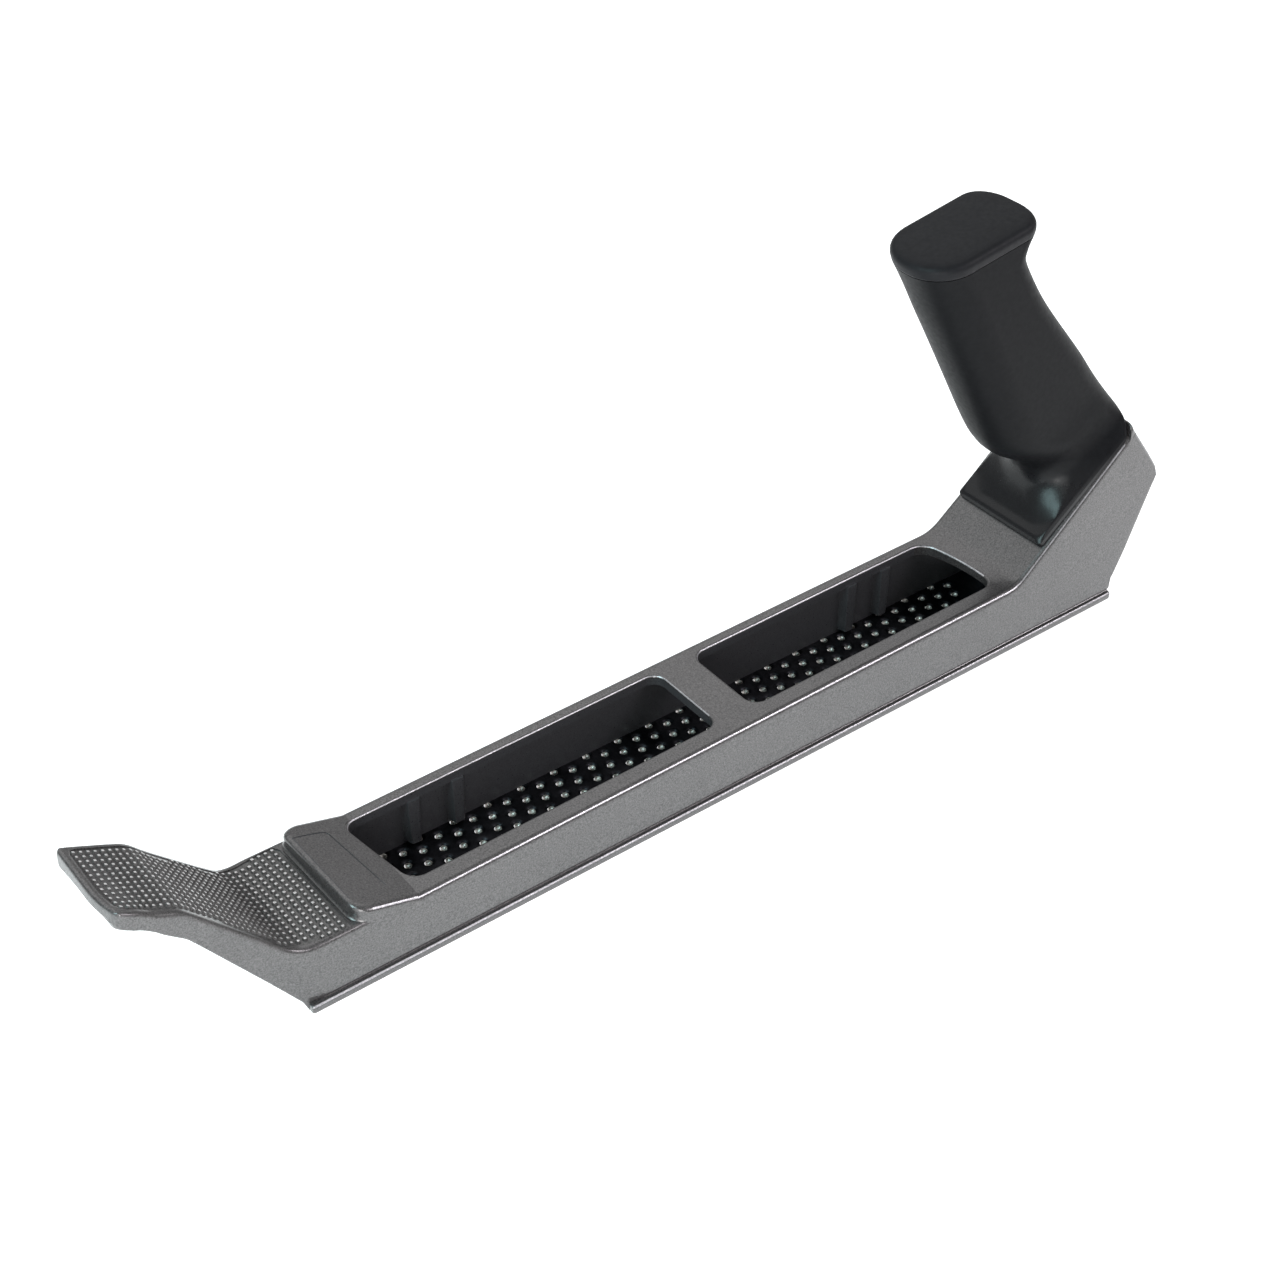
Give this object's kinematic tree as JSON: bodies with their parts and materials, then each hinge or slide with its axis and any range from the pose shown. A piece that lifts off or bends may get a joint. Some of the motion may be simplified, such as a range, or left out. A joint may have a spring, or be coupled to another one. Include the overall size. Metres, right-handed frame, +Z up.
{
  "type": "rasp shaper plane",
  "caption": "Long two-handed shaper plane: grey cast body with an upturned toe rest, an open-tooth rasp blade under two windows, a blade tensioner and a black pistol grip.",
  "frame": {"origin": "middle of the tool's length and width, on the plane the tooth tips rest on", "axes": "+X towards the heel and the pistol grip, the toe rest at -X; +Z up; the body is symmetric about the XZ plane"},
  "size_m": [0.3806, 0.046, 0.1573],
  "materials": {
    "cast_body_paint": "metallic grey hammered paint on a casting",
    "blade_steel": "black oxide",
    "zinc_steel": "zinc plated",
    "grip_plastic": "satin black moulding",
    "insert_brass": "machined"
  },
  "bodies": {
    "tool": {"body_casting": "cast_body_paint", "rasp_blade": "blade_steel", "blade_catch": "zinc_steel", "catch_screw": "zinc_steel", "tension_washer": "zinc_steel", "handle_grip": "grip_plastic", "handle_cap": "grip_plastic", "handle_insert_lower": "insert_brass", "handle_insert_upper": "insert_brass", "handle_screw_lower": "zinc_steel", "handle_screw_upper": "zinc_steel", "handle_washer_lower": "zinc_steel", "handle_washer_upper": "zinc_steel"},
    "tension_screw": {"tension_screw": "zinc_steel"},
    "tension_hook": {"tension_hook": "zinc_steel"}
  },
  "joints": [
    {"name": "tension_screw_turn", "type": "hinge", "parent": "tool", "child": "tension_screw", "pos_m": [0.16945, 0, 0.011], "axis": [1, 0, 0], "range_deg": [0, 1800]},
    {"name": "tension_hook_slide", "type": "slide", "parent": "tool", "child": "tension_hook", "axis": [-1, 0, 0], "range_m": [0, 0.004]}
  ],
  "couplings": [
    {"joint": "tension_screw_turn", "follows": "tension_hook_slide", "rad_per_m": 7854}
  ]
}
